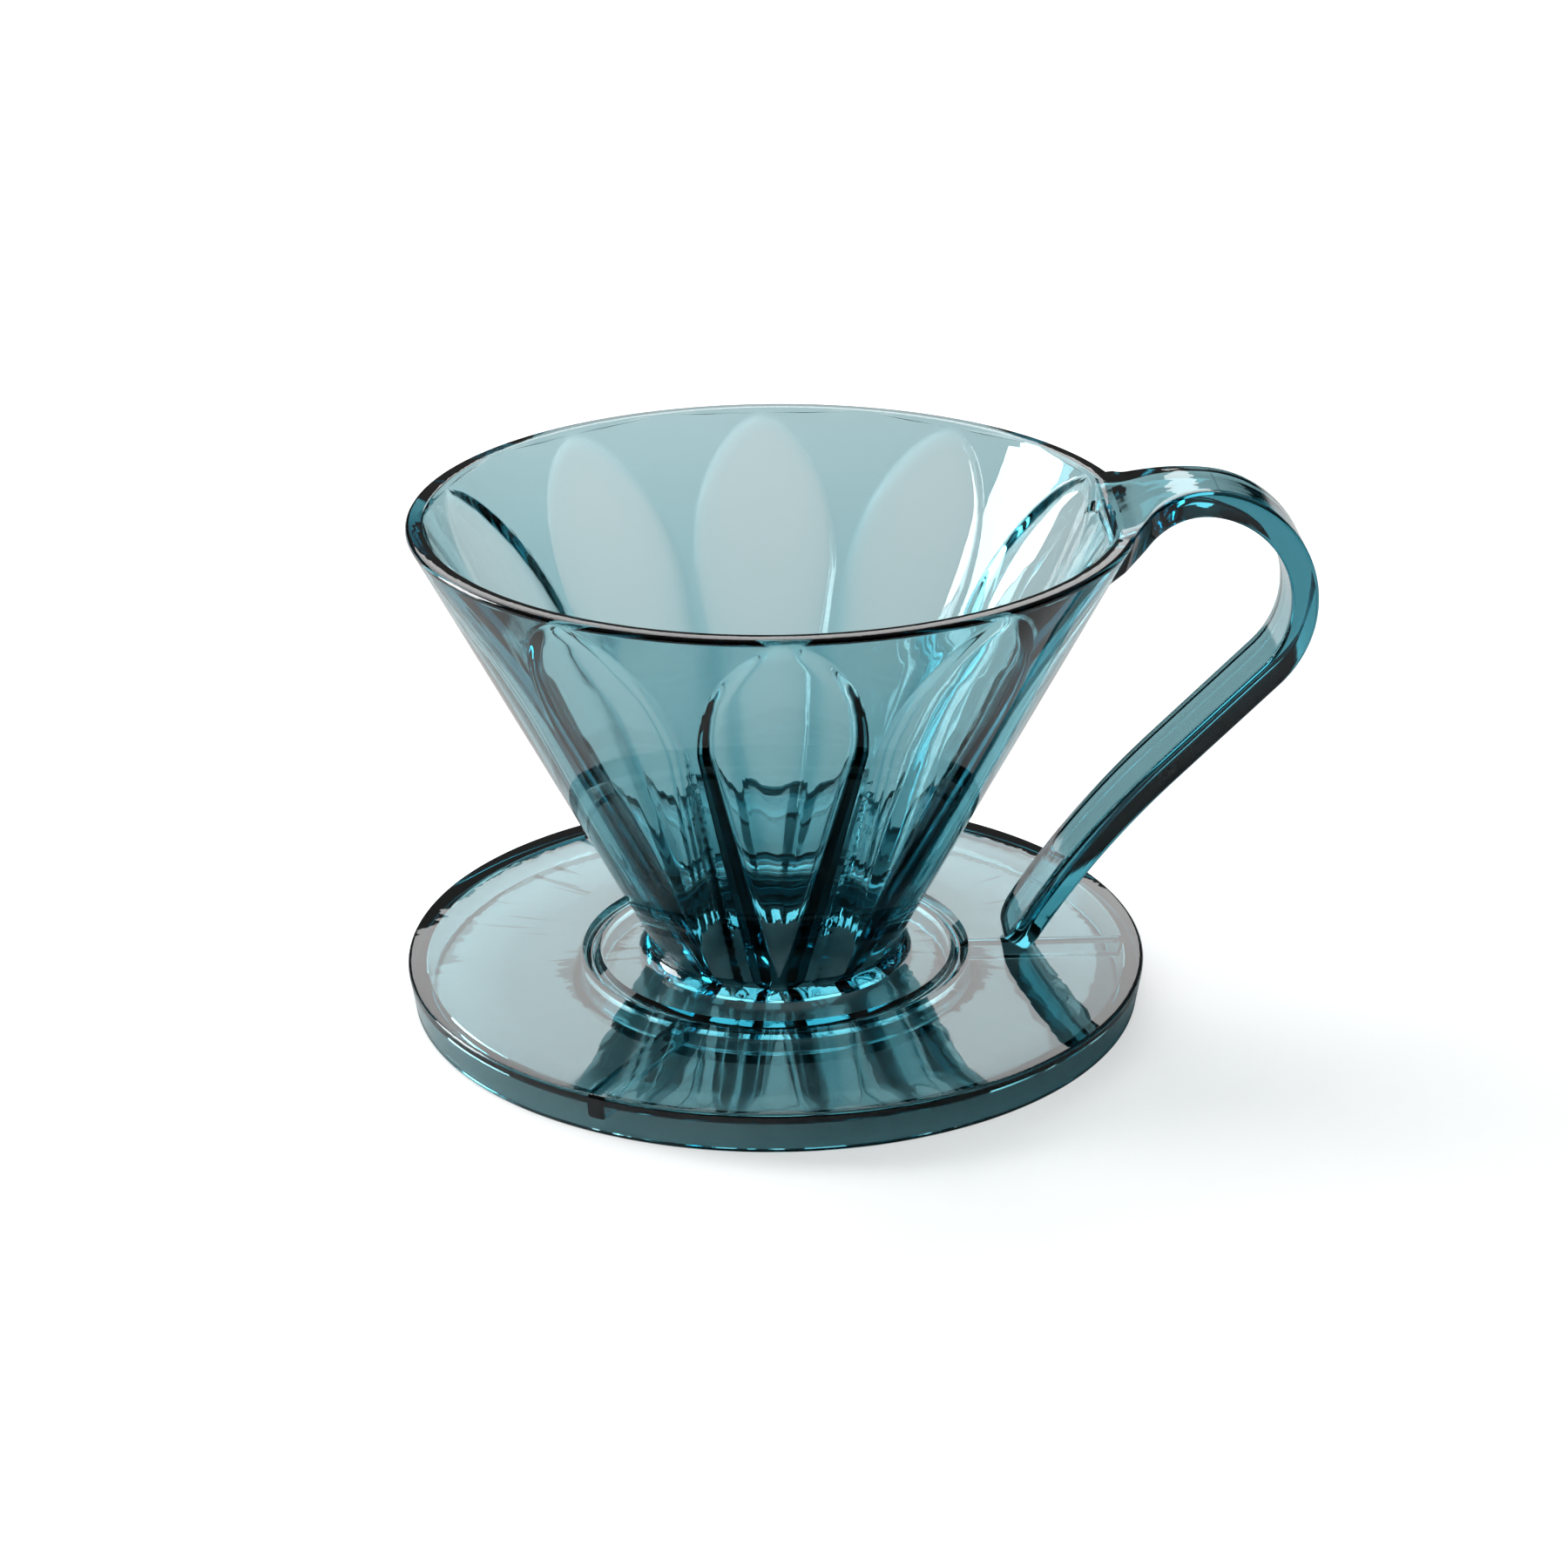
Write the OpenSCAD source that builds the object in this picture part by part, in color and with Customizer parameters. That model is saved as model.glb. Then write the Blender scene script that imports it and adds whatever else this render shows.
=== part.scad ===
// Pour-over coffee dripper in transparent tinted resin.
// Millimetres, +Z up, origin on the cone's axis at the plane the dripper rests on, handle along +X.

/* [Cone] */
// Outer radius of the rim
rim_r = 56.6; // [54:0.2:57]
// Height of the rim above the resting plane
rim_z = 80; // [79:0.5:81]
// Width of the flat top of the rim
rim_w = 3.1; // [2.6:0.1:3.3]
// Lean of the outer wall from the vertical, in degrees
wall_a = 27.3; // [27:0.1:27.8]
// Lean of the land that carries the filter paper, in degrees
land_a = 30; // [29.6:0.1:30.2]
// Rounding of the rim's edges
rim_round = 0.6; // [0.3:0.1:0.8]

/* [Petals] */
// Number of scooped petals inside the cone
petals = 10; // [8:1:11]
// Thickness of the wall left behind a petal, at its thinnest
petal_wall = 2; // [1.8:0.1:2.4]
// Height at which a petal's floor starts to rise to its tip
petal_end = 68; // [64:0.5:71]
// Height of a petal's tip
petal_tip = 78.2; // [76:0.2:78.6]

/* [Neck] */
// Radius of the drain hole
drain_r = 11; // [10.6:0.2:12]
// Fillet between the neck and the plate
neck_round = 2; // [1.4:0.1:2.4]

/* [Plate] */
// Outer radius of the plate
plate_r = 59.3; // [57:0.1:62]
// Height of the plate's top face
plate_z = 6.8; // [6:0.2:9]
// Thickness of the plate
plate_t = 2.1; // [1.8:0.1:2.6]
// Thickness of the skirt round the plate
skirt_t = 2.6; // [2.2:0.1:3.2]
// Rounding of the plate's outer edge
plate_round = 1.8; // [1:0.1:2]

/* [Underside] */
// Outer radius of the collar that centres the dripper
collar_r = 31; // [28:0.5:36]
// Thickness of the collar
collar_t = 2.8; // [2:0.1:3.4]
// Gap between the collar's lower edge and the resting plane
collar_gap = 0.8; // [0.4:0.1:2]
// Width of a vent rib
rib_w = 2.8; // [2:0.2:4]
// Depth of a vent rib
rib_h = 2.6; // [1.6:0.1:3.4]

/* [Handle] */
// Width of the strap
strap_w = 13; // [10:0.5:15]
// Thickness of the strap
strap_t = 4.2; // [3.6:0.1:4.8]
// Radius of the fillets where the strap leaves the rim
root_fillet = 15; // [10:1:20]
// Length of the tail below the straight run
tail_l = 39; // [32:1:40]

/* [Hidden] */
$fn = 96;

tint = [0.30, 0.58, 0.62];
cone_split = 12;                       // height where the cone sits on the neck
plate_under = plate_z - plate_t;
neck_r = wall_r(plate_z + neck_round) + neck_round / cos(wall_a);
skirt_r = plate_r - 1.1;               // skirt radius at the resting plane

// outer wall and land radius at height z
function wall_r(z) = rim_r - (rim_z - z) * tan(wall_a);
function land_r(z) = rim_r - rim_w - (rim_z - z) * tan(land_a);

// ---- petals: each is scooped by a leaning cone whose upper end closes at a shallower slope
apex_z = -2;
floor_a = 28.9;                        // lean of a petal's floor, so the wall thickens downward
spread_a = 20.4;                       // half angle of the cutter
lean_a = floor_a - spread_a;           // lean of the cutter's axis
cut_from = 4;                          // where the cutter starts, along its axis
apex_x = wall_r(petal_end) - petal_wall / cos(wall_a) - (petal_end - apex_z) * tan(floor_a);
bend = (petal_end - apex_z) / cos(floor_a) * [sin(spread_a), cos(spread_a)];
tip_x = land_r(petal_tip) - apex_x;
tip_h = petal_tip - apex_z;
point = [tip_x * cos(lean_a) - tip_h * sin(lean_a), tip_x * sin(lean_a) + tip_h * cos(lean_a)];

module petal_cutter() {
  translate([apex_x, 0, apex_z]) rotate([0, lean_a, 0]) rotate([0, 0, 180]) rotate_extrude()
    polygon([[0, cut_from], [cut_from * tan(spread_a), cut_from], bend, point, [0, point[1]]]);
}

// takes petals i and below out of its child, one after another
module scooped(i) {
  difference() {
    if (i == 0) children();
    else scooped(i - 1) children();
    rotate([0, 0, (i + 0.5) * 360 / petals]) petal_cutter();
  }
}

// rounds a convex corner of a profile: c corner, ua and ub unit directions of its edges
module round_corner(c, ua, ub, r) {
  h = acos(ua * ub) / 2;
  d = r / tan(h);
  m = (ua + ub) / norm(ua + ub);
  difference() {
    polygon([c - m * 0.05, c + ua * d, c + m * r / sin(h), c + ub * d]);
    translate(c + m * r / sin(h)) circle(r);
  }
}

// ---- filter_cone
module filter_cone() {
  color(tint) scooped(petals - 1) rotate_extrude() difference() {
    polygon([[land_r(cone_split), cone_split], [wall_r(cone_split), cone_split],
      [rim_r, rim_z], [rim_r - rim_w, rim_z]]);
    round_corner([rim_r, rim_z], [-1, 0], [-sin(wall_a), -cos(wall_a)], rim_round);
    round_corner([rim_r - rim_w, rim_z], [1, 0], [-sin(land_a), -cos(land_a)], rim_round);
  }
}

// ---- drain_neck
module drain_neck() {
  color(tint) scooped(petals - 1) rotate_extrude() difference() {
    polygon([[drain_r, plate_under], [neck_r, plate_under], [neck_r, plate_z],
      [neck_r - neck_round * cos(wall_a), plate_z + neck_round * (1 + sin(wall_a))],
      [wall_r(cone_split), cone_split], [land_r(cone_split), cone_split],
      [drain_r, cone_split - (land_r(cone_split) - drain_r) / tan(land_a)]]);
    translate([neck_r, plate_z + neck_round]) circle(neck_round);
  }
}

// ---- base_plate
module base_plate() {
  color(tint) rotate_extrude() difference() {
    polygon([[neck_r, plate_under], [plate_r - skirt_t - 0.4, plate_under],
      [skirt_r - skirt_t, 0], [skirt_r, 0], [plate_r, plate_z], [neck_r, plate_z]]);
    round_corner([plate_r, plate_z], [-1, 0],
      [skirt_r - plate_r, -plate_z] / norm([skirt_r - plate_r, -plate_z]), plate_round);
    round_corner([skirt_r, 0], [-1, 0],
      [plate_r - skirt_r, plate_z] / norm([plate_r - skirt_r, plate_z]), 0.6);
  }
}

// ---- server_collar
module server_collar() {
  color(tint) rotate_extrude() difference() {
    translate([collar_r - collar_t, collar_gap]) square([collar_t, plate_under - collar_gap]);
    round_corner([collar_r, collar_gap], [-1, 0], [0, 1], 0.5);
    round_corner([collar_r - collar_t, collar_gap], [1, 0], [0, 1], 0.5);
  }
}

// ---- vent ribs
module vent_rib(a) {
  color(tint) rotate([0, 0, a]) difference() {
    intersection() {
      translate([collar_r - 0.5, -rib_w / 2, plate_under - rib_h]) cube([30, rib_w, rib_h]);
      rotate_extrude() polygon([[collar_r - 1, 0], [skirt_r - skirt_t, 0],
        [plate_r - skirt_t - 0.4, plate_under], [collar_r - 1, plate_under]]);
    }
    cylinder(r = collar_r, h = plate_z);
  }
}
module vent_rib_1() { vent_rib(0); }
module vent_rib_2() { vent_rib(120); }
module vent_rib_3() { vent_rib(240); }

// ---- handle: a flat strap that rises from the rim, arches over and drops to a free end
arch = [65.4, rim_z - 14.7];           // centre of the big arch
arch_r = 16.6;
drop_a = 45;                           // slope of the strap just after the arch
drop_l = 22;                           // straight run after the arch
bow_r = 150;                           // gentle bow of the tail
sway_r = 13;                           // hollow curve where the strap rises from the rim
sway_a = 31;                           // how far round that curve goes
under_a = 35;                          // where the underside leaves the arch for the wall
tip_r = 5;                             // rounding of the free end's corners

function along(a) = [-cos(a), -sin(a)];
function ray(a) = [cos(a), sin(a)];
function arc(c, r, a0, a1, n) = [for (i = [0:n]) c + r * ray(a0 + (a1 - a0) * i / n)];

drop_end = arch + arch_r * [sin(drop_a), -cos(drop_a)] + drop_l * along(drop_a);
bow = drop_end + bow_r * [sin(drop_a), -cos(drop_a)];
bow_a = tail_l / bow_r * 180 / PI;
tip_a = drop_a + bow_a;
tip = bow + bow_r * [-sin(tip_a), cos(tip_a)];
sway = arch + (arch_r + sway_r) * [-sin(sway_a), cos(sway_a)];

// the strap seen from the side
module strap_side() {
  t = strap_t / 2;
  low = sway[1] - sway_r + t;
  under = arch + (arch_r - t) * [-sin(under_a), cos(under_a)];
  polygon(concat(
    [[46, under[1] + 46 - under[0]], [46, low]],
    arc(sway, sway_r - t, 270, 270 + sway_a, 8),
    arc(arch, arch_r + t, 90 + sway_a, drop_a - 90, 40),
    arc(bow, bow_r - t, 90 + drop_a, 90 + tip_a, 8),
    arc(bow, bow_r + t, 90 + tip_a, 90 + drop_a, 8),
    arc(arch, arch_r - t, drop_a - 90, 90 + under_a, 40)));
}

// the strap seen from above near the rim: fillets carry the rim's outline into its sides
module root_outline() {
  fy = strap_w / 2 + root_fillet;
  fd = rim_r + root_fillet;
  fx = sqrt(fd * fd - fy * fy);
  touch = [fx, fy] * rim_r / fd;
  difference() {
    polygon([touch - [4, 0], touch, [fx, strap_w / 2], [fx, -strap_w / 2],
      [touch[0], -touch[1]], [touch[0] - 4, -touch[1]]]);
    for (s = [-1, 1]) translate([fx, s * fy]) circle(root_fillet);
  }
}

// everything inside the cone's outer surface and below its rim
module cone_envelope() {
  rotate_extrude() difference() {
    polygon([[0, cone_split], [wall_r(cone_split), cone_split], [rim_r, rim_z], [0, rim_z]]);
    round_corner([rim_r, rim_z], [-1, 0], [-sin(wall_a), -cos(wall_a)], rim_round);
  }
}

// takes the square corners off the strap's free end
module tip_cut() {
  translate([tip[0], 0, tip[1]]) rotate([0, -90 - tip_a, 0]) rotate([0, 90, 0])
    linear_extrude(30, center = true) for (m = [0, 1]) mirror([0, m, 0]) difference() {
      translate([-1, strap_w / 2 - tip_r]) square([tip_r + 1, tip_r + 1]);
      translate([tip_r, strap_w / 2 - tip_r]) circle(tip_r);
    }
}

module handle() {
  color(tint) difference() {
    rotate([90, 0, 0]) linear_extrude(80, center = true) strap_side();
    difference() {
      translate([0, -50, -1]) cube([100, 100, rim_z + 10]);
      translate([0, 0, -2]) linear_extrude(rim_z + 20) {
        translate([20, -strap_w / 2]) square([70, strap_w]);
        root_outline();
      }
    }
    cone_envelope();
    tip_cut();
  }
}

filter_cone();
drain_neck();
base_plate();
server_collar();
vent_rib_1();
vent_rib_2();
vent_rib_3();
handle();
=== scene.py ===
"""Looks of the pour-over coffee dripper: one clear tinted moulding on a white table."""

import math

import bmesh
import bpy
import numpy as np
from mathutils import Matrix, Vector


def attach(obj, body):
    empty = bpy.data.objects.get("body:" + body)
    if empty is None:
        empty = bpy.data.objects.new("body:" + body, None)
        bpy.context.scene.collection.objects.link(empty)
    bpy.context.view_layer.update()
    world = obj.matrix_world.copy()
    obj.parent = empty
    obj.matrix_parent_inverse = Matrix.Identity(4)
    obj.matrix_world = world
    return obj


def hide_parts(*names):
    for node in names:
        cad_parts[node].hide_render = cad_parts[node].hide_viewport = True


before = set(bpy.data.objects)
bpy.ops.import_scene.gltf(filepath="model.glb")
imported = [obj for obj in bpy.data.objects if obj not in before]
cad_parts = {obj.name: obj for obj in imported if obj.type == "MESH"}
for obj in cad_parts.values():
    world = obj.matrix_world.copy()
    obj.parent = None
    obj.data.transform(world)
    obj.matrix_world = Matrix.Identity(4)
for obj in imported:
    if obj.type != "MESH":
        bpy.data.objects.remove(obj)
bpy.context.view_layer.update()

MM = 0.001

# ---------------------------------------------------------------- dimensions, millimetres
RIM_R, RIM_Z, RIM_W = 56.6, 80.0, 3.1
RIM_ROUND, RIM_INNER_ROUND = 0.7, 0.4
WALL_TAN = math.tan(math.radians(27.3))
LAND_A = math.radians(30.0)
LAND_TAN = math.tan(LAND_A)
DRAIN_R = 11.0
NECK_ROUND = 2.0
PLATE_R, PLATE_Z, PLATE_T = 59.08, 6.8, 2.1
PLATE_UNDER = PLATE_Z - PLATE_T
PLATE_ROUND = 0.6
SKIRT_T = 2.6
SKIRT_R = PLATE_R - 1.1                  # skirt radius at the table
COLLAR_R, COLLAR_T, COLLAR_GAP = 31.0, 2.8, 0.8
SMALL_ROUND = 0.4                        # rounding of the edges and corners under the plate
GROOVE_W, GROOVE_D = 2.8, 0.95
GROOVE_FLOOR = 0.24                      # width of the groove's floor
RIB_W, RIB_H, RIB_ROUND = 2.8, 2.6, 0.5
RIB_ANGLES = (0, 120, 240)

# petals: pointed ovals sunk into the land, joined into ridges that run down to the drain
PETALS = 10
HALF_PITCH = math.pi / PETALS
PETAL_WALL = 2.1                         # level thickness of the wall behind a petal
PETAL_THICKEN = 0.026                    # growth of that thickness per millimetre below PETAL_END
PETAL_TIP, PETAL_END = 79.2, 68.0
PETAL_JOIN = 50.0                        # height of the V between two petals
PETAL_ROUND = 0.7                        # 0 gives a pointed tip, 1 an elliptic one
RIDGE_HALF = 0.45                        # half the width of a ridge's crest
SIDE_SLOPE = 1.1                         # width of a petal's side wall over its depth
TIP_SOFTEN, SOFT_FROM = 1.7, 67.0        # how much flatter that wall gets at the tip, from this height
BOWL, BOWL_WIDTH = 0.3, 9.0              # share of the depth that comes as a hollow over this width
CREASE = 0.4                             # rounding along a petal's outline
DRAIN_BLEND = 0.3                        # rounding where the land meets the drain

# mesh density
LEVELS = ((74, 28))     # rows of the inner wall below and above CROWN_Z
CROWN_Z = 64.0
OUTLINE_STEPS = (0.08, 0.2, 0.4, 0.7, 1.1)   # distances of the finer columns from a petal's outline
PETAL_COLUMNS, LAND_COLUMNS = 11, 3
LONGEST_EDGE = 6.0                           # along the profile outside the petals


def wall_r(z):
    return RIM_R - (RIM_Z - z) * WALL_TAN


def land_r(z):
    return RIM_R - RIM_W - (RIM_Z - z) * LAND_TAN


def smooth_max(a, b, k):
    """max(a, b) with a rounding of size k where they cross"""
    h = np.clip(0.5 + 0.5 * (a - b) / k, 0, 1)
    return b * (1 - h) + a * h + k * h * (1 - h)


# ---------------------------------------------------------------- inner wall with its petals
def outline(z):
    """Half the angle that a petal covers at each height"""
    t = np.clip((PETAL_TIP - z) / (PETAL_TIP - PETAL_JOIN), 0, 1)
    pointed = 1 - (1 - t) ** 2
    half = HALF_PITCH * (PETAL_ROUND * np.sqrt(pointed) + (1 - PETAL_ROUND) * pointed)
    return np.minimum(half, HALF_PITCH - RIDGE_HALF / land_r(z))


def outline_distance(angle, z):
    """Distance to a petal's outline along the land, angle measured from the petal's middle"""
    fine_from = 72
    below = np.linspace(PLATE_UNDER - 2, fine_from, 140)
    above = np.linspace(fine_from, PETAL_TIP, 60)
    z_line = np.concatenate([below, above[1:]])
    across = outline(z_line) * land_r(z_line)
    upward = z_line / math.cos(LAND_A)
    here = np.abs(angle) * land_r(z)
    gap = np.hypot(here[..., None] - across, z[..., None] / math.cos(LAND_A) - upward).min(axis=-1)
    return np.sqrt(gap ** 2 + CREASE ** 2) - CREASE


def petal_depth(angle, z):
    """How far a petal is sunk into the land: a side wall along the outline, then a shallow bowl"""
    gap = outline_distance(angle, z)
    behind = PETAL_WALL + PETAL_THICKEN * np.maximum(PETAL_END - z, 0)
    deepest = np.maximum(wall_r(z) - behind - land_r(z), 0)
    softer = 1 + TIP_SOFTEN * np.clip((z - SOFT_FROM) / (PETAL_TIP - SOFT_FROM), 0, 1)
    side = np.clip(gap / (SIDE_SLOPE * softer * np.maximum(deepest, 0.5)), 0, 1)
    bowl = np.clip(gap / BOWL_WIDTH, 0, 1)
    depth = (1 - BOWL) * (1 - (1 - side) ** 2) + BOWL * (1 - (1 - bowl) ** 2)
    inside = (np.abs(angle) < outline(z)) & (z < PETAL_TIP)
    return np.where(inside, deepest * depth, 0)


def side_columns(width, count):
    """Distances from a petal's outline to one side: crowded at first, then even"""
    scale = min(1.0, width / (2 * OUTLINE_STEPS[-1]))
    near = [0.0] + [step * scale for step in OUTLINE_STEPS]
    return near + list(np.linspace(near[-1], width, count + 1)[1:])


def petal_columns(half, radius, blend):
    """Angles of the columns over one pitch, petal in the middle; blend 1 spaces them evenly"""
    petal = half - np.array(side_columns(half * radius, PETAL_COLUMNS)) / radius
    land = half + np.array(side_columns((HALF_PITCH - half) * radius, LAND_COLUMNS)) / radius
    right = np.concatenate([petal[::-1], land[1:]])
    even = np.linspace(0, HALF_PITCH, len(right))
    right = right + (even - right) * blend
    return np.concatenate([-right[:0:-1], right[:-1]])


def inner_wall(z):
    """Angles and radii of the inner wall, one row per height"""
    evened_over = 0.4
    narrowest = 0.5 / RIM_R
    rows = []
    for height, half in zip(z, outline(z)):
        blend = min(1.0, max(0.0, (height - PETAL_TIP) / evened_over))
        rows.append(petal_columns(max(half, narrowest), float(land_r(height)), blend))
    local = np.array(rows)
    grid_z = np.repeat(z[:, None], local.shape[1], axis=1)
    r = land_r(grid_z) + petal_depth(local, grid_z)
    r = smooth_max(r, np.full_like(r, DRAIN_R), DRAIN_BLEND)
    angles = np.concatenate([local + (2 * i + 1) * HALF_PITCH for i in range(PETALS)], axis=1)
    return angles, np.tile(r, (1, PETALS))


# ---------------------------------------------------------------- profile of the body of revolution
def corner(points, index, radius, steps):
    """The points, with one corner replaced by an arc"""
    p, a, b = (Vector(points[i % len(points)]) for i in (index, index - 1, index + 1))
    ua, ub = (a - p).normalized(), (b - p).normalized()
    half = ua.angle(ub) / 2
    centre = p + (ua + ub).normalized() * radius / math.sin(half)
    start, end = p + ua * radius / math.tan(half), p + ub * radius / math.tan(half)
    out = []
    for i in range(steps + 1):
        v = (start - centre).lerp(end - centre, i / steps)
        out.append(tuple(centre + v.normalized() * radius))
    return points[:index] + out + points[index + 1:]


def outer_profile():
    """From the rim's inner edge over the rim, down the cone, over the plate, under it to the drain"""
    skirt_in = SKIRT_R - SKIRT_T
    collar_in = COLLAR_R - COLLAR_T
    small = (SMALL_ROUND, 3)
    # each corner with the radius of its rounding and the rounding's steps
    corners = [((RIM_R - RIM_W, RIM_Z), None),
               ((RIM_R, RIM_Z), (RIM_ROUND, 5)),
               ((wall_r(PLATE_Z), PLATE_Z), (NECK_ROUND, 7)),
               ((PLATE_R, PLATE_Z), (PLATE_ROUND, 5)),
               ((SKIRT_R, 0.0), (SMALL_ROUND, 4)),
               ((skirt_in, 0.0), (0.3, 3)),
               ((PLATE_R - SKIRT_T - 0.4, PLATE_UNDER), small),
               ((COLLAR_R, PLATE_UNDER), small),
               ((COLLAR_R, COLLAR_GAP), small),
               ((collar_in, COLLAR_GAP), small),
               ((collar_in, PLATE_UNDER), small),
               ((DRAIN_R, PLATE_UNDER), None)]
    path = [place for place, rounding in corners]
    for index in reversed(range(len(corners))):
        rounding = corners[index][1]
        if rounding:
            path = corner(path, index, *rounding)
    start = next(i for i, p in enumerate(path) if p[0] > COLLAR_R and abs(p[1] - PLATE_Z) < 0.01)
    return path[:start] + groove() + path[start:]


def groove():
    """A shallow V groove in the plate's top face, over the collar"""
    middle, half = COLLAR_R - COLLAR_T / 2, GROOVE_W / 2
    low = PLATE_Z - GROOVE_D
    return [(middle - half, PLATE_Z), (middle - GROOVE_FLOOR / 2, low),
            (middle + GROOVE_FLOOR / 2, low), (middle + half, PLATE_Z)]


def lathe_body():
    """Cone, neck, plate, skirt and collar as one closed skin"""
    inner_edge = [(land_r(60), 60.0), (RIM_R - RIM_W, RIM_Z), (RIM_R, RIM_Z)]
    edge = corner(inner_edge, 1, RIM_INNER_ROUND, 4)[1:-1]
    top = edge[0][1]
    below = np.linspace(PLATE_UNDER, CROWN_Z, LEVELS[0])
    above = np.linspace(CROWN_Z, top, LEVELS[1])
    z = np.concatenate([below, above[1:]])
    angles, radii = inner_wall(z)
    even = (np.arange(angles.shape[1]) + 0.5) * 2 * math.pi / angles.shape[1]
    even = even + (angles[-1, 0] - even[0])
    rows = [ring(a, r, height) for a, r, height in zip(angles[:-1], radii[:-1], z[:-1])]
    outer = edge + outer_profile()[1:]
    for a, b in zip(outer[:-1], outer[1:]):
        count = max(1, round(math.dist(a, b) / LONGEST_EDGE))
        for i in range(count):
            radius, height = np.add(a, np.subtract(b, a) * i / count)
            rows.append(ring(even, radius, height))
    verts = (np.array(rows) * MM).reshape(-1, 3)
    return new_mesh("dripper_body", verts, skin(len(rows), len(even), closed=True))


def ring(angles, radius, height):
    return np.stack([radius * np.cos(angles), radius * np.sin(angles), np.full(len(angles), height)], -1)


def skin(rows, turns, closed):
    """Faces between neighbouring loops; closed joins the last loop to the first, else both are capped"""
    faces = []
    for i in range(rows if closed else rows - 1):
        j = (i + 1) % rows
        for k in range(turns):
            m = (k + 1) % turns
            faces.append((i * turns + k, i * turns + m, j * turns + m, j * turns + k))
    if not closed:
        faces.append(tuple(range(turns)))
        faces.append(tuple(range((rows - 1) * turns, rows * turns)))
    return faces


def new_mesh(name, verts, faces):
    mesh = bpy.data.meshes.new(name)
    mesh.from_pydata([tuple(v) for v in verts], [], faces)
    bm = bmesh.new()
    bm.from_mesh(mesh)
    bmesh.ops.recalc_face_normals(bm, faces=bm.faces)
    bm.to_mesh(mesh)
    bm.free()
    obj = bpy.data.objects.new(name, mesh)
    bpy.context.scene.collection.objects.link(obj)
    return obj


# ---------------------------------------------------------------- handle
STRAP_W, STRAP_T, STRAP_ROUND = 13.0, 4.2, 0.6
STRAP_EDGE = 1.3                         # longest edge of a section of the strap
ARCH, ARCH_R = np.array((65.4, RIM_Z - 14.7)), 16.6
ARCH_START = math.radians(80)            # where the root hands over to the arch
UNDER_A = math.radians(35)               # where the underside leaves the arch for the wall
DROP_A, DROP_L = math.radians(45), 22.0
BOW_R, TAIL_L = 150.0, 39.0
SWAY_A, SWAY_R = math.radians(31), 13.0
ROOT_FILLET = 15.0
ROOT_SINK = 0.25                         # how far inside the rim's edge the fillets start
UNDER_RIM = 0.03                         # how far the root's top lies below the rim's
FILLET_SHARE = 0.9                       # share of the root's sections that lie along the fillets
TIP_R = 5.0                              # length over which the free end is rounded off
TIP_LOSS = 0.9                           # how strongly it narrows and thins over that length
ROOT_STEPS, ARCH_STEPS, DROP_STEPS, TAIL_STEPS, TIP_STEPS = 25, 60, 10, 30, 12


def strap_path():
    """Centre line in the X-Z plane from the top of the root to the free end: points and directions"""
    points, normals = [], []
    for a in np.linspace(ARCH_START, DROP_A - math.pi / 2, ARCH_STEPS):
        n = np.array((math.cos(a), math.sin(a)))
        points.append(ARCH + ARCH_R * n)
        normals.append(n)
    end, n = points[-1], normals[-1]
    down = np.array((-math.cos(DROP_A), -math.sin(DROP_A)))
    for t in np.linspace(0, DROP_L, DROP_STEPS)[1:]:
        points.append(end + down * t)
        normals.append(n)
    bow = points[-1] + BOW_R * np.array((math.sin(DROP_A), -math.cos(DROP_A)))
    for t in np.linspace(0, TAIL_L, TAIL_STEPS)[1:]:
        a = DROP_A + t / BOW_R
        n = np.array((math.sin(a), -math.cos(a)))
        points.append(bow - BOW_R * n)
        normals.append(n)
    return points, normals


def section(width, thick, radius, steps=5):
    """Rounded rectangle as (across, through) pairs, one loop"""
    out = []
    for cx, cy, a0 in ((1, 1, 0), (-1, 1, 90), (-1, -1, 180), (1, -1, 270)):
        x, y = cx * (width / 2 - radius), cy * (thick / 2 - radius)
        for i in range(steps + 1):
            a = math.radians(a0 + 90 * i / steps)
            out.append((x + radius * math.cos(a), y + radius * math.sin(a)))
    return out


def densify(loop, longest):
    out = []
    for a, b in zip(loop, loop[1:] + loop[:1]):
        count = max(1, math.ceil(math.dist(a, b) / longest))
        out += [tuple(np.add(a, np.subtract(b, a) * i / count)) for i in range(count)]
    return out


def root_top(x):
    """Height of the strap's top face between the rim and the arch"""
    outer, inner = ARCH_R + STRAP_T / 2, SWAY_R - STRAP_T / 2
    sway = ARCH + (ARCH_R + SWAY_R) * np.array((-math.sin(SWAY_A), math.cos(SWAY_A)))
    crest = ARCH[0] - outer * math.sin(SWAY_A)
    if x > crest:
        return ARCH[1] + math.sqrt(outer ** 2 - (x - ARCH[0]) ** 2)
    flush = RIM_Z - UNDER_RIM - (sway[1] - inner)
    if x > sway[0]:
        rest = (crest - x) / (crest - sway[0])
        return sway[1] - math.sqrt(inner ** 2 - (x - sway[0]) ** 2) + flush * rest ** 2
    return sway[1] - inner + flush


def root_bottom(x):
    """Height of the strap's underside between the wall and the arch"""
    inner = ARCH_R - STRAP_T / 2
    under = ARCH[0] - inner * math.sin(UNDER_A)
    if x > under:
        return ARCH[1] + math.sqrt(inner ** 2 - (x - ARCH[0]) ** 2)
    return ARCH[1] + inner * math.cos(UNDER_A) - (under - x)


def root_section(base, middle_x, edge_x, edge_y, lean):
    """One section of the root: bowed between its middle and its edges, leaning inward below the rim"""
    loop = []
    for across, through in base:
        v = across / (STRAP_W / 2)
        x = middle_x + (edge_x - middle_x) * v * v
        bottom = root_bottom(x)
        z = bottom + (root_top(x) - bottom) * (through / STRAP_T + 0.5)
        loop.append(((x - lean * (RIM_Z - z)) * MM, v * edge_y * MM, z * MM))
    return loop


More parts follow.
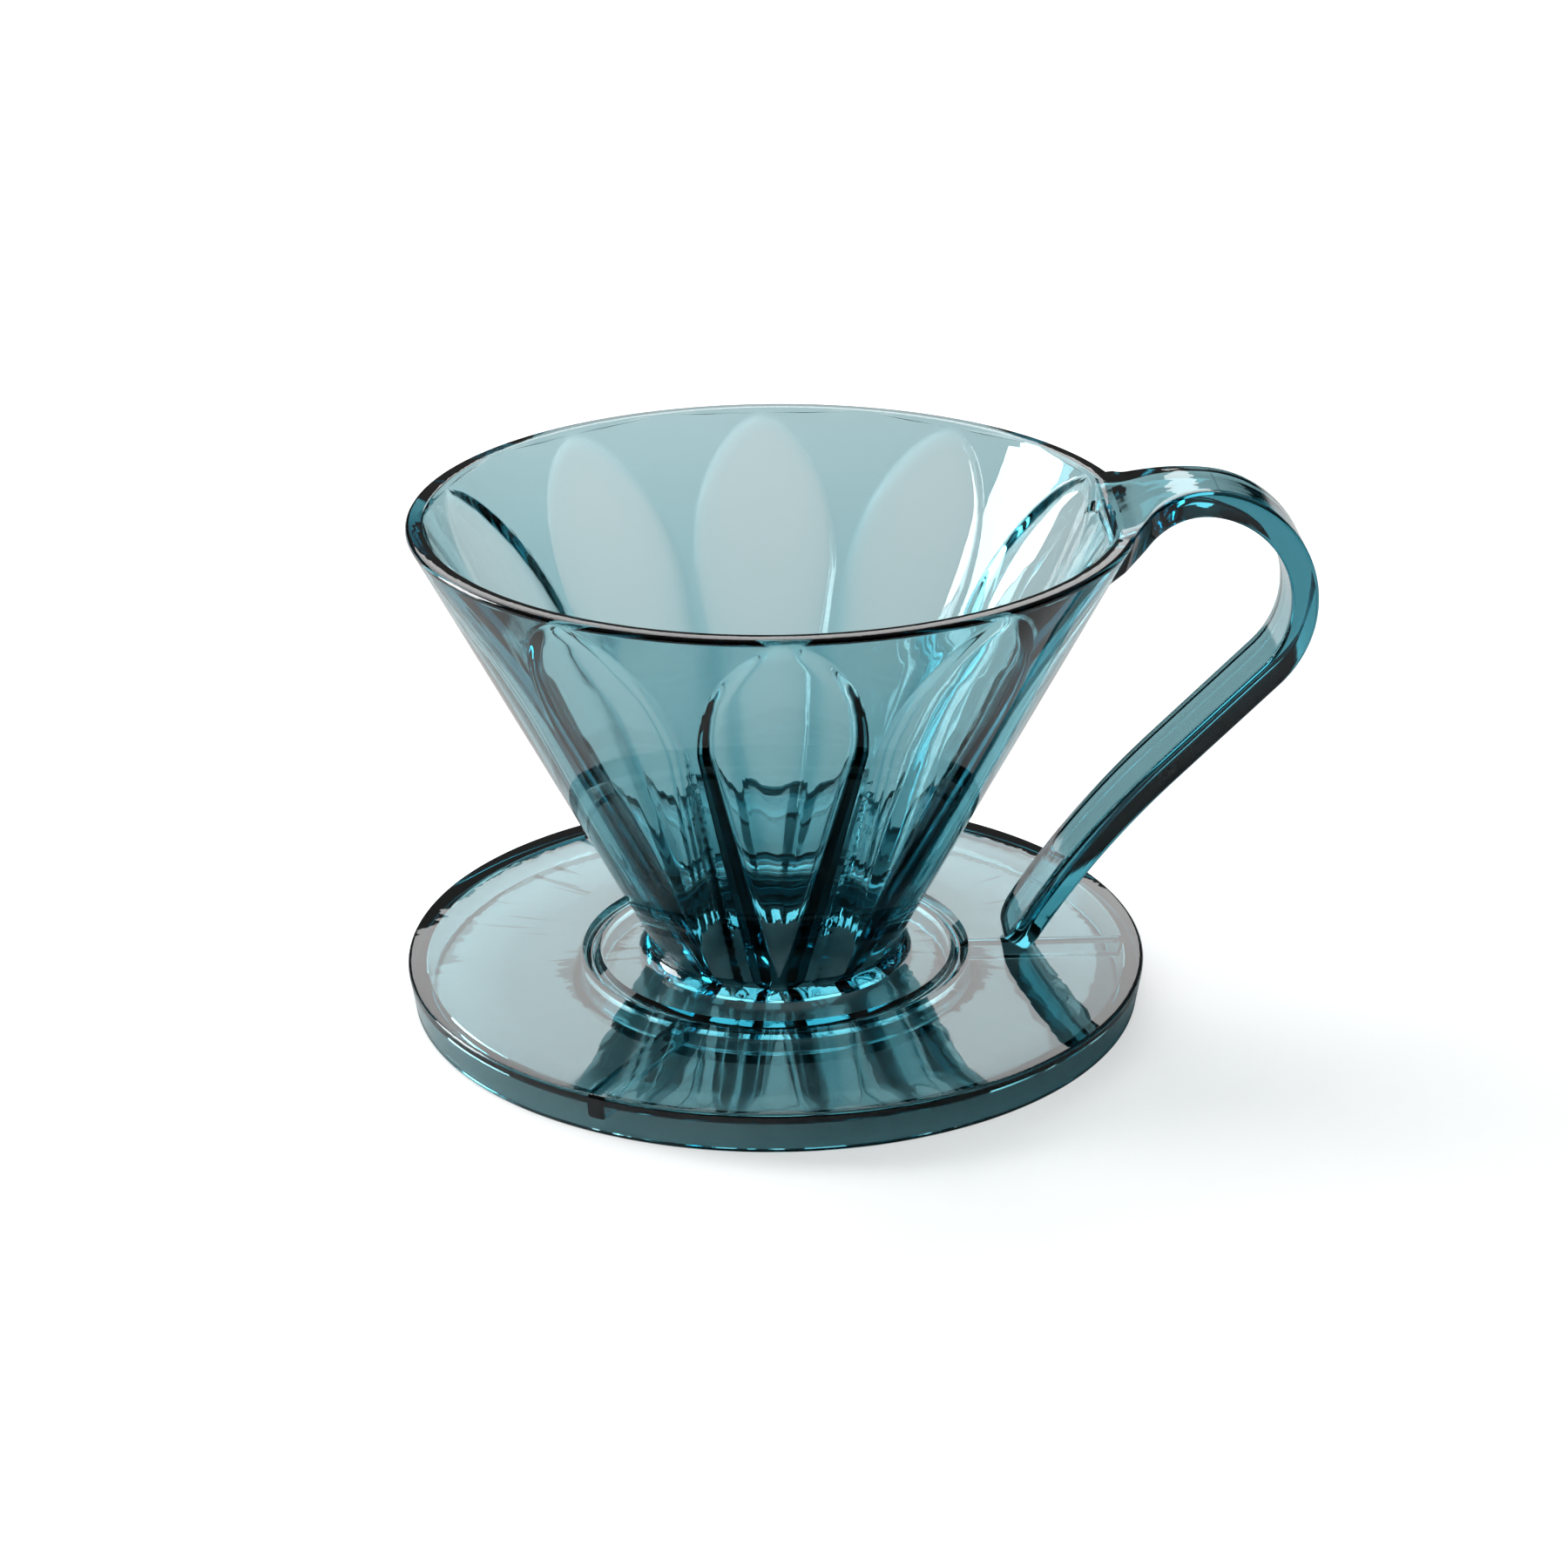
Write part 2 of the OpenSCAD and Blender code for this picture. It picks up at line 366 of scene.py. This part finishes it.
def root_loops(base):
    """Sections from inside the cone's wall out to the arch, narrowing along a fillet on each side"""
    reach = RIM_R - ROOT_SINK + ROOT_FILLET
    fillet_y = STRAP_W / 2 + ROOT_FILLET
    fillet_x = math.sqrt(reach ** 2 - fillet_y ** 2)
    touch = math.acos(fillet_y / reach)
    start_x = RIM_R - RIM_W + 0.4
    join_x = ARCH[0] + ARCH_R * math.cos(ARCH_START)
    loops = []
    for t in np.linspace(0, 1, ROOT_STEPS + 1)[:-1]:
        s = min(1.0, t / FILLET_SHARE)
        a = touch * (1 - s)
        edge_x = fillet_x - ROOT_FILLET * math.sin(a)
        edge_y = fillet_y - ROOT_FILLET * math.cos(a)
        middle_x = start_x + (fillet_x - start_x) * s
        if t == 0:
            edge_x = start_x - 2.6       # the first section is bowed like the wall that hides it
        if t > FILLET_SHARE:
            edge_x = fillet_x + (join_x - fillet_x) * (t - FILLET_SHARE) / (1 - FILLET_SHARE)
            edge_y = STRAP_W / 2
            middle_x = edge_x
        lean = 0.3 * max(0.0, 1 - s * 3)
        loops.append(root_section(base, middle_x, edge_x, edge_y, lean))
    return loops


def strap_section(base, middle, normal, width=1.0, thickness=1.0):
    """One section across the strap, centred on a point of its path, scaled by width and thickness"""
    loop = []
    for across, through in base:
        x, z = middle + normal * through * thickness
        loop.append((x * MM, across * width * MM, z * MM))
    return loop


def tip_loops(base, points, normals, cut):
    """Sections that round off the free end in place of the last few"""
    tail = points[-1] - points[-2]
    tail = tail / np.linalg.norm(tail)
    centre, normal = points[-cut], normals[-cut]
    reach = float(np.dot(points[-1] - centre, tail))
    loops = []
    for turned in np.radians(np.linspace(0, 90, TIP_STEPS)[1:]):
        lost = TIP_LOSS * (1 - math.cos(turned))
        width = 1 - TIP_R * lost / (STRAP_W / 2)
        thickness = 1 - lost * (1 - math.cos(turned)) / (STRAP_T / 2)
        middle = centre + tail * reach * math.sin(turned)
        loops.append(strap_section(base, middle, normal, width, thickness))
    return loops


def strap():
    base = densify(section(STRAP_W, STRAP_T, STRAP_ROUND), STRAP_EDGE)
    points, normals = strap_path()
    cut = math.ceil(TIP_R * (TAIL_STEPS - 1) / TAIL_L)
    loops = root_loops(base)
    loops += [strap_section(base, p, n) for p, n in zip(points[:-cut], normals[:-cut])]
    loops += tip_loops(base, points, normals, cut)
    verts = [v for loop in loops for v in loop]
    return new_mesh("strap", verts, skin(len(loops), len(base), closed=False))


# ---------------------------------------------------------------- ribs
def rib(angle):
    """A rib under the plate with a rounded lower edge, sunk a little into plate, collar and skirt"""
    half, low, high = RIB_W / 2, PLATE_UNDER - RIB_H, PLATE_UNDER + 0.3
    loop = [(-half, high), (-half, low + RIB_ROUND)]
    for i in range(1, 5):
        t = math.radians(180 + 90 * i / 4)
        loop.append((-half + RIB_ROUND * (1 + math.cos(t)), low + RIB_ROUND * (1 + math.sin(t))))
    loop += [(-y, z) for y, z in reversed(loop)]
    turn = Matrix.Rotation(angle, 3, "Z")
    verts = []
    for x in (COLLAR_R - 0.6, SKIRT_R - SKIRT_T + 1.2):
        verts += [turn @ Vector((x * MM, y * MM, z * MM)) for y, z in loop]
    return new_mesh("rib", verts, skin(2, len(loop), closed=False))


def unite(target, others):
    for other in others:
        mod = target.modifiers.new("union", "BOOLEAN")
        mod.operation = "UNION"
        mod.solver = "EXACT"
        mod.object = other
    bpy.context.view_layer.update()
    graph = bpy.context.evaluated_depsgraph_get()
    mesh = bpy.data.meshes.new_from_object(target.evaluated_get(graph))
    target.modifiers.clear()
    target.data = mesh
    for other in others:
        bpy.data.objects.remove(other)


body = lathe_body()
unite(body, [strap()] + [rib(math.radians(a)) for a in RIB_ANGLES])
for polygon in body.data.polygons:
    polygon.use_smooth = True
body.data.set_sharp_from_angle(angle=math.radians(32))


# ---------------------------------------------------------------- material
def add_node(nodes, kind, inputs, operation=None):
    """A new shader node with its fixed inputs set"""
    made = nodes.new(kind)
    if operation:
        made.operation = operation
    for name, value in inputs.items():
        made.inputs[name].default_value = value
    return made


def haze(nodes, links, coords, shader):
    """Faint haze that varies over the surface"""
    noise = add_node(nodes, "ShaderNodeTexNoise", {"Scale": 90})
    links.new(coords.outputs["Object"], noise.inputs["Vector"])
    ramp = add_node(nodes, "ShaderNodeMapRange", {"To Min": 0.0, "To Max": 0.03})
    links.new(noise.outputs["Fac"], ramp.inputs["Value"])
    links.new(ramp.outputs["Result"], shader.inputs["Roughness"])


def flow_lines(nodes, links, coords, shader):
    """Faint lines left by the mould's filling: they run outward over the plate and up the cone"""
    flat = add_node(nodes, "ShaderNodeVectorMath", {1: (1, 1, 0)}, "MULTIPLY")
    links.new(coords.outputs["Object"], flat.inputs[0])
    heading = add_node(nodes, "ShaderNodeVectorMath", {}, "NORMALIZE")
    links.new(flat.outputs["Vector"], heading.inputs[0])
    place = add_node(nodes, "ShaderNodeVectorMath", {1: (3, 3, 3)}, "MULTIPLY_ADD")
    links.new(coords.outputs["Object"], place.inputs[0])
    links.new(heading.outputs["Vector"], place.inputs[2])
    ripple = add_node(nodes, "ShaderNodeTexNoise", {"Scale": 9.0, "Detail": 2.0})
    links.new(place.outputs["Vector"], ripple.inputs["Vector"])
    bump = add_node(nodes, "ShaderNodeBump", {"Strength": 0.25, "Distance": 0.00015})
    links.new(ripple.outputs["Fac"], bump.inputs["Height"])
    links.new(bump.outputs["Normal"], shader.inputs["Normal"])


def resin():
    """Clear resin that takes its colour from the length of the light's way through it"""
    mat = bpy.data.materials.new("tinted_resin")
    mat.use_nodes = True
    nodes, links = mat.node_tree.nodes, mat.node_tree.links
    nodes.clear()
    out = nodes.new("ShaderNodeOutputMaterial")
    clear = {"Base Color": (1, 1, 1, 1), "IOR": 1.52, "Transmission Weight": 1.0}
    shader = add_node(nodes, "ShaderNodeBsdfPrincipled", clear)
    coords = nodes.new("ShaderNodeTexCoord")
    haze(nodes, links, coords, shader)
    flow_lines(nodes, links, coords, shader)
    links.new(shader.outputs["BSDF"], out.inputs["Surface"])
    teal = {"Color": (0.03, 0.61, 0.69, 1), "Density": 215}
    tint = add_node(nodes, "ShaderNodeVolumeAbsorption", teal)
    links.new(tint.outputs["Volume"], out.inputs["Volume"])
    return mat


body.data.materials.clear()
body.data.materials.append(resin())
body.name = "dripper_moulding"
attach(body, "root")
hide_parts("filter_cone", "drain_neck", "base_plate", "server_collar",
            "vent_rib_1", "vent_rib_2", "vent_rib_3", "handle")


# ---------------------------------------------------------------- stage
FLOOR_HALF = 6.0                         # metres
TABLE_GREY, TABLE_WHITE, TABLE_GLOW = 0.88, 0.95, 0.6
# painted light and shade on the table around the dripper's axis: painted shade under the plate, a
# painted brighter band just inside the skirt, and painted contact shadow under the collar and the skirt
PAINTED_SHADE_UNDER_PLATE = 0.46                       # shares of the table's brightness left under the plate,
PAINTED_LIGHT_NEAR_SKIRT = 0.95                        # just inside the skirt, where light comes through it,
PAINTED_CONTACT_SHADOW = 0.03                           # and under the collar and the skirt themselves


def painted_table_shade():
    """Painted shade rings on the table: distance from the axis in millimetres and the share of the
    table's brightness painted there
    """
    # the painted dark ring under the collar reaches a millimetre past it on each side
    collar_in, collar_out = COLLAR_R - COLLAR_T - 1, COLLAR_R + 1
    skirt_in = SKIRT_R - SKIRT_T
    return [(collar_in - 0.4, PAINTED_SHADE_UNDER_PLATE), (collar_in, PAINTED_CONTACT_SHADOW),
            (collar_out, PAINTED_CONTACT_SHADOW), (collar_out + 0.3, PAINTED_SHADE_UNDER_PLATE),
            (43.0, PAINTED_SHADE_UNDER_PLATE), (skirt_in - 0.4, PAINTED_LIGHT_NEAR_SKIRT), (skirt_in, PAINTED_CONTACT_SHADOW),
            (SKIRT_R, PAINTED_CONTACT_SHADOW), (SKIRT_R + 0.3, 1.0)]


def painted_shade_ramp(nodes, links):
    """The table's painted shade as a colour ramp over the distance from the axis"""
    metres_to_ramp = 10.0
    coords = nodes.new("ShaderNodeTexCoord")
    radius = add_node(nodes, "ShaderNodeVectorMath", {}, "LENGTH")
    links.new(coords.outputs["Object"], radius.inputs[0])
    scaled = add_node(nodes, "ShaderNodeMath", {1: metres_to_ramp}, "MULTIPLY")
    links.new(radius.outputs["Value"], scaled.inputs[0])
    ramp = nodes.new("ShaderNodeValToRGB")
    painted_stops = painted_table_shade()
    stops = ramp.color_ramp.elements
    while len(stops) < len(painted_stops):
        stops.new(0.5)
    for stop, (place, value) in zip(stops, painted_stops):
        stop.position = place * MM * metres_to_ramp
        stop.color = (value, value, value, 1)
    links.new(scaled.outputs["Value"], ramp.inputs["Fac"])
    return ramp


def table():
    """Seen directly the table is white; seen through the resin it is the grey of a lit studio table,
    with painted shade rings under the dripper
    """
    mat = bpy.data.materials.new("floor")
    mat.use_nodes = True
    nodes, links = mat.node_tree.nodes, mat.node_tree.links
    shader = nodes["Principled BSDF"]
    shader.inputs["Roughness"].default_value = 0.9
    shader.inputs["Specular IOR Level"].default_value = 0.1
    shader.inputs["Emission Color"].default_value = (1, 1, 1, 1)
    path = nodes.new("ShaderNodeLightPath")
    mix = nodes.new("ShaderNodeMix")
    mix.data_type = "RGBA"
    mix.inputs["A"].default_value = (TABLE_GREY, TABLE_GREY, TABLE_GREY, 1)
    mix.inputs["B"].default_value = (TABLE_WHITE, TABLE_WHITE, TABLE_WHITE, 1)
    links.new(path.outputs["Is Camera Ray"], mix.inputs["Factor"])
    glow = add_node(nodes, "ShaderNodeMath", {1: TABLE_GLOW}, "MULTIPLY")
    links.new(path.outputs["Is Camera Ray"], glow.inputs[0])
    links.new(glow.outputs["Value"], shader.inputs["Emission Strength"])
    product = nodes.new("ShaderNodeMix")
    product.data_type = "RGBA"
    product.blend_type = "MULTIPLY"
    product.inputs["Factor"].default_value = 1.0
    links.new(mix.outputs["Result"], product.inputs["A"])
    # the base colour is multiplied by the painted shade rings
    links.new(painted_shade_ramp(nodes, links).outputs["Color"], product.inputs["B"])
    links.new(product.outputs["Result"], shader.inputs["Base Color"])
    return mat


def floor():
    mesh = bpy.data.meshes.new("floor")
    s = FLOOR_HALF
    mesh.from_pydata([(-s, -s, 0), (s, -s, 0), (s, s, 0), (-s, s, 0)], [], [(0, 1, 2, 3)])
    obj = bpy.data.objects.new("floor", mesh)
    bpy.context.scene.collection.objects.link(obj)
    mesh.materials.append(table())
    return obj


def studio():
    """A room that is bright behind and above the table and dark on the near side"""
    world = bpy.data.worlds.new("world")
    bpy.context.scene.world = world
    world.use_nodes = True
    nodes, links = world.node_tree.nodes, world.node_tree.links
    coords = nodes.new("ShaderNodeTexCoord")
    brightest = Vector((-0.20, 0.50, 0.84)).normalized()
    dot = add_node(nodes, "ShaderNodeVectorMath", {1: brightest}, "DOT_PRODUCT")
    links.new(coords.outputs["Generated"], dot.inputs[0])
    glow = {"From Min": -0.05, "From Max": 0.75, "To Min": 0.02, "To Max": 2.1}
    ramp = add_node(nodes, "ShaderNodeMapRange", glow)
    ramp.interpolation_type = "SMOOTHSTEP"
    links.new(dot.outputs["Value"], ramp.inputs["Value"])
    # the backdrop starts some way above the table, which leaves a dark band along the horizon
    split = nodes.new("ShaderNodeSeparateXYZ")
    links.new(coords.outputs["Generated"], split.inputs["Vector"])
    band = {"From Min": 0.14, "From Max": 0.30, "To Min": 0.04, "To Max": 1.0}
    rise = add_node(nodes, "ShaderNodeMapRange", band)
    rise.interpolation_type = "SMOOTHSTEP"
    links.new(split.outputs["Z"], rise.inputs["Value"])
    product = add_node(nodes, "ShaderNodeMath", {}, "MULTIPLY")
    links.new(ramp.outputs["Result"], product.inputs[0])
    links.new(rise.outputs["Result"], product.inputs[1])
    links.new(product.outputs["Value"], nodes["Background"].inputs["Strength"])


def area(name, place, aim, size, power):
    """A rectangular light at a place, turned towards an aim, in metres and watts"""
    data = bpy.data.lights.new(name, "AREA")
    data.shape = "RECTANGLE"
    data.size, data.size_y = size
    data.energy = power
    obj = bpy.data.objects.new(name, data)
    bpy.context.scene.collection.objects.link(obj)
    obj.location = place
    obj.rotation_euler = (Vector(aim) - Vector(place)).to_track_quat("-Z", "Y").to_euler()


floor()
studio()
area("softbox_back", (-0.30, 0.95, 1.05), (0, 0, 0.03), (1.7, 1.2), 16)
area("window_left", (-1.25, 0.45, 0.45), (0, 0, 0.05), (0.55, 0.7), 16)
bpy.context.scene.view_settings.view_transform = "Standard"


# ---------------------------------------------------------------- camera
AIM = Vector((1.54, 0, 34.52)) * MM
DISTANCE = 590 * MM
TILT, ROLL, AZIMUTH = math.radians(22.98), math.radians(-0.43), math.radians(-2.0)
LENS, SENSOR = 85.64, 36


def camera():
    data = bpy.data.cameras.new("camera")
    data.lens = LENS
    data.sensor_width = SENSOR
    obj = bpy.data.objects.new("camera", data)
    bpy.context.scene.collection.objects.link(obj)
    turn = Matrix.Rotation(AZIMUTH, 3, "Z")
    back = turn @ Vector((0, -math.cos(TILT), math.sin(TILT)))
    right = turn @ Vector((1, 0, 0))
    up = back.cross(right)
    rolled_right = right * math.cos(ROLL) + up * math.sin(ROLL)
    rolled_up = up * math.cos(ROLL) - right * math.sin(ROLL)
    facing = Matrix((rolled_right, rolled_up, back)).transposed().to_4x4()
    obj.matrix_world = Matrix.Translation(turn @ AIM + back * DISTANCE) @ facing
    bpy.context.scene.camera = obj


camera()
